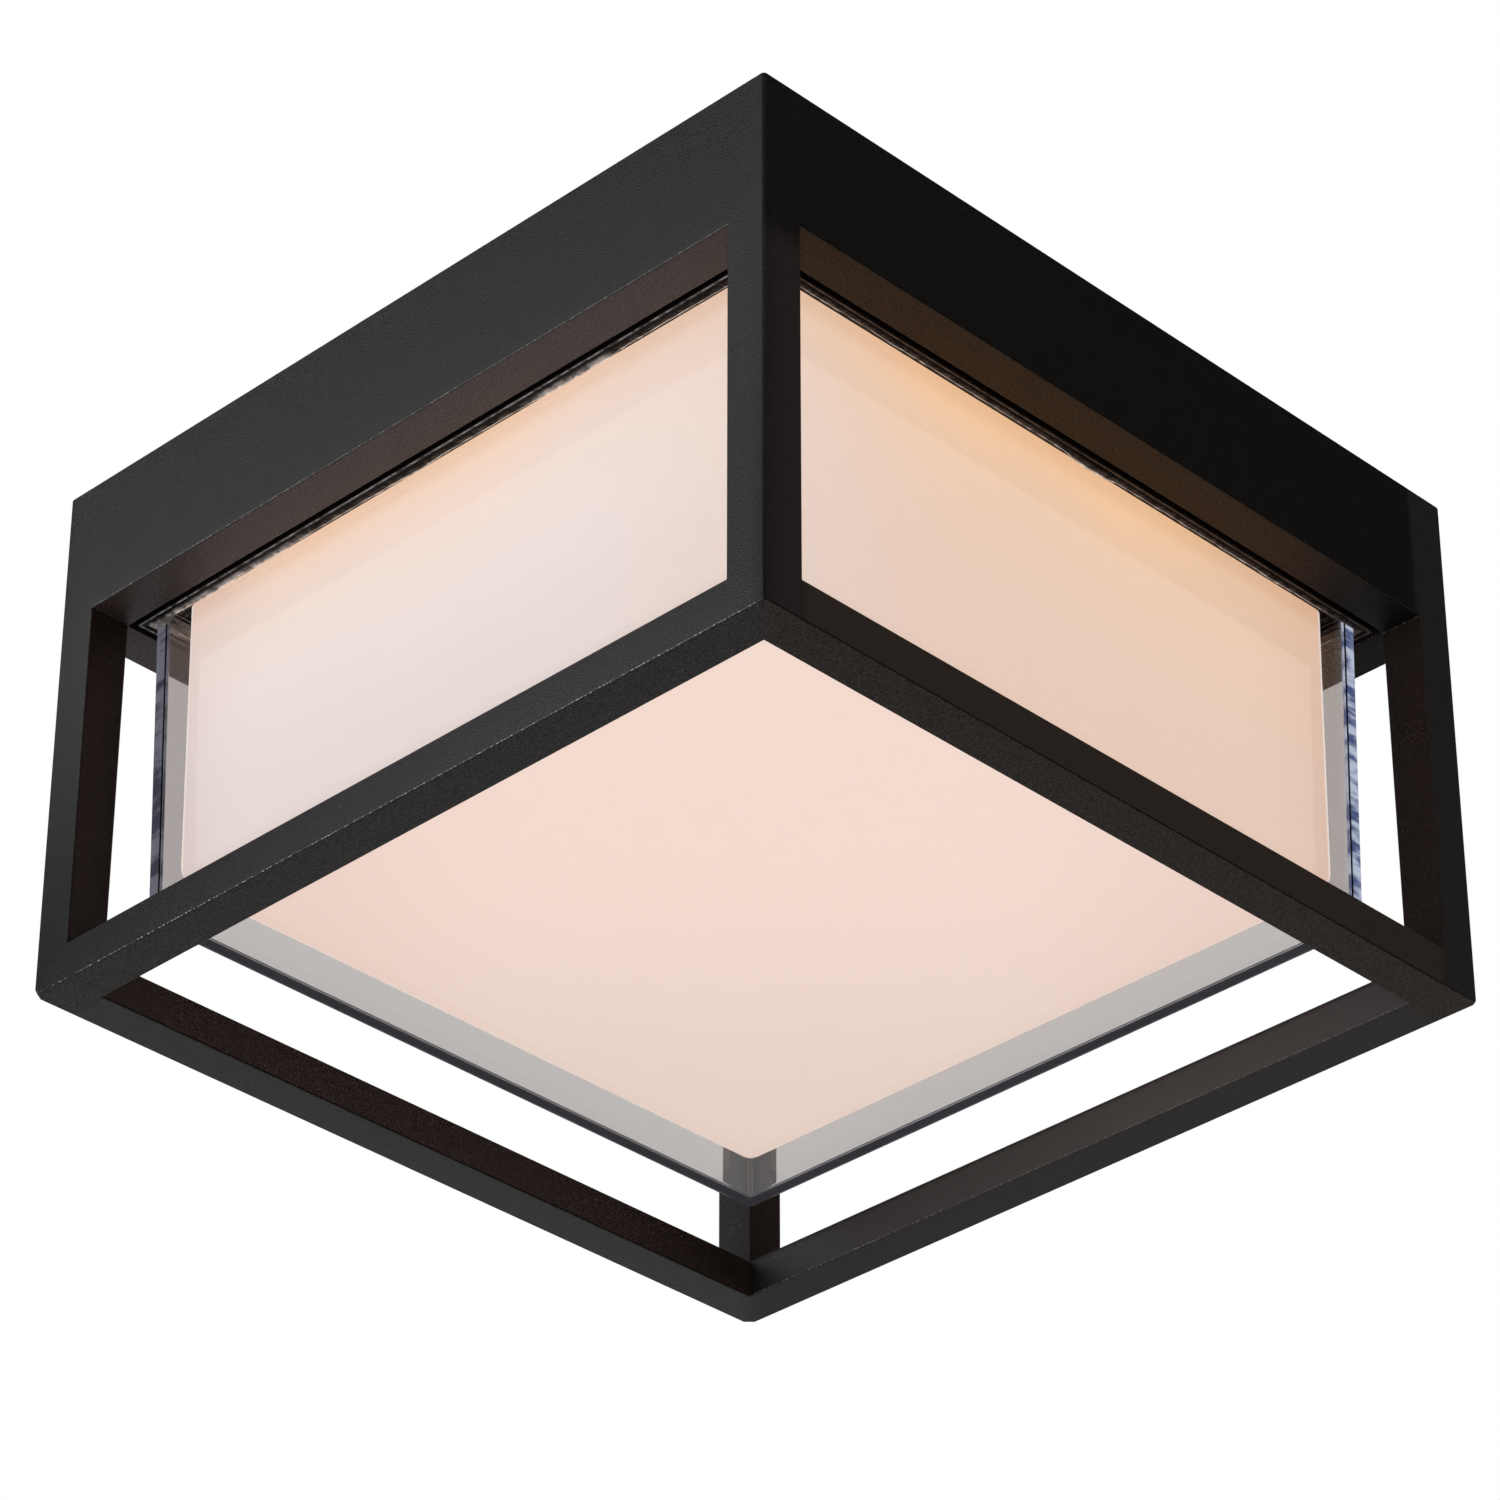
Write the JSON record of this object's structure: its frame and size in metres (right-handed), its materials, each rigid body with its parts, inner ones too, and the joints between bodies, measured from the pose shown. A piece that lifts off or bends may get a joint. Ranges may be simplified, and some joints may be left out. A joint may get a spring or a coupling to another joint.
{
  "type": "outdoor light",
  "caption": "Square black cage light for a porch ceiling or wall: clear outer cover, glowing opal inner cover, deep band and a clamped mounting plate.",
  "frame": {"origin": "centre of the mounting plate's rear face, in the plane of the ceiling or wall", "axes": "+Z out of the light's back into the ceiling or wall; the light stands out along -Z; X and Y along the sides of the square, the clamp screws on the +Y side"},
  "size_m": [0.2, 0.2, 0.118],
  "materials": {
    "zinc_plate": "zinc-plated sheet steel",
    "black_rubber": "moulded rubber, matt",
    "black_coating": "die-cast aluminium with a fine-textured black powder coating",
    "screw_steel": "bright zinc-plated steel",
    "clear_plastic": "clear moulded acrylic, polished",
    "silicone": "cloudy clear silicone, hand-laid bead",
    "opal_plastic": "opal moulded acrylic, satin",
    "board_white": "white solder mask on an aluminium core",
    "led_phosphor": "phosphor gel",
    "connector_nylon": "moulded nylon",
    "red_sleeve": "extruded insulation",
    "black_sleeve": "extruded insulation",
    "driver_plastic": "moulded flame-retardant plastic",
    "potting": "cast filling, slightly glossy",
    "terminal_nylon": "natural nylon, slightly translucent",
    "brass": "turned brass",
    "brown_sleeve": "extruded insulation",
    "blue_sleeve": "extruded insulation",
    "green_yellow_sleeve": "extruded insulation, striped",
    "tinned_copper": "tinned copper",
    "black_steel": "black oxide steel"
  },
  "bodies": {
    "plate": {"mounting_plate": "zinc_plate", "cable_grommet": "black_rubber"},
    "lamp": {"cage_frame": "black_coating", "lamp_tray": "black_coating", "tray_screws": "screw_steel", "clear_cover": "clear_plastic", "cover_seal": "silicone", "opal_diffuser": "opal_plastic", "diffuser_screws": "screw_steel", "led_board": "board_white", "led_chips": "led_phosphor", "led_board_screws": "screw_steel", "led_connector": "connector_nylon", "lead_grommet": "black_rubber", "led_lead_positive": "red_sleeve", "led_lead_negative": "black_sleeve", "driver_case": "driver_plastic", "driver_potting": "potting", "driver_screws": "screw_steel", "terminal_block": "terminal_nylon", "terminal_sleeves": "brass", "terminal_screws": "screw_steel", "terminal_fixing_screws": "screw_steel", "live_lead": "brown_sleeve", "neutral_lead": "blue_sleeve", "earth_lead": "green_yellow_sleeve", "earth_ring_terminal": "tinned_copper", "earth_washer": "screw_steel", "earth_screw": "brass"},
    "clamp_left": {"clamp_screw_left": "black_steel"},
    "clamp_right": {"clamp_screw_right": "black_steel"}
  },
  "joints": [
    {"name": "lamp_lift", "type": "slide", "parent": "plate", "child": "lamp", "axis": [0, 0, -1], "range_m": [0, 0.03]},
    {"name": "clamp_left_travel", "type": "slide", "parent": "lamp", "child": "clamp_left", "axis": [0, 1, 0], "range_m": [0, 0.003]},
    {"name": "clamp_right_travel", "type": "slide", "parent": "lamp", "child": "clamp_right", "axis": [0, 1, 0], "range_m": [0, 0.003]}
  ]
}
